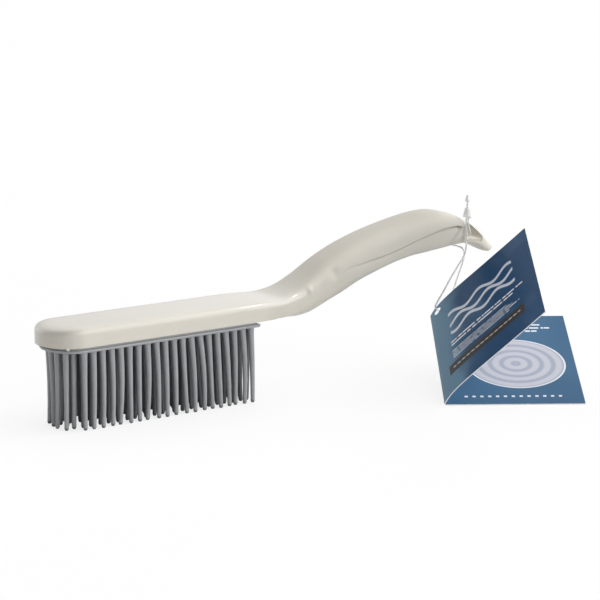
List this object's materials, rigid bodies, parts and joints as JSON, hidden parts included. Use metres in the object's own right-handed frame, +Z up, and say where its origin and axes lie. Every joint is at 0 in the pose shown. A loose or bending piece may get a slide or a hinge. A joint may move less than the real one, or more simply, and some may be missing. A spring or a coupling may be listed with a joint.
{
  "type": "rubber brush",
  "caption": "Hand brush with rubber fingers, a curved hollow handle with a hanging eye, and a folded swing tag on a nylon loop.",
  "frame": {"origin": "on the standing surface, under the middle of the brush's length and width", "axes": "+X from the nose to the handle's tail, +Z up, +Y to the far side"},
  "size_m": [0.2991, 0.1341, 0.0921],
  "materials": {
    "body": "glossy warm cream moulding",
    "rubber": "matt grey rubber",
    "nylon": "cloudy white nylon",
    "card": "printed blue coated card"
  },
  "bodies": {
    "brush": {"brush_body": "body", "rubber_pad": "rubber"},
    "loop": {"hang_loop": "nylon", "loop_socket": "nylon", "loop_pin": "nylon"},
    "cover": {"tag_cover": "card"},
    "back": {"tag_back": "card"}
  },
  "joints": [
    {"name": "loop_swing", "type": "hinge", "parent": "brush", "child": "loop", "pos_m": [0.1188, 0, 0.0691], "axis": [0, 1, 0], "range_deg": [-10, 15]},
    {"name": "tag_swing", "type": "hinge", "parent": "loop", "child": "cover", "pos_m": [0.0979, -0.009, 0.0307], "axis": [-0.7123, 0.2594, 0.6522], "range_deg": [-10, 10]},
    {"name": "tag_fold", "type": "hinge", "parent": "cover", "child": "back", "pos_m": [0.0477, -0.0769, 0.0006], "axis": [0.5406, 0.7954, 0.274], "range_deg": [-30, 130]}
  ]
}
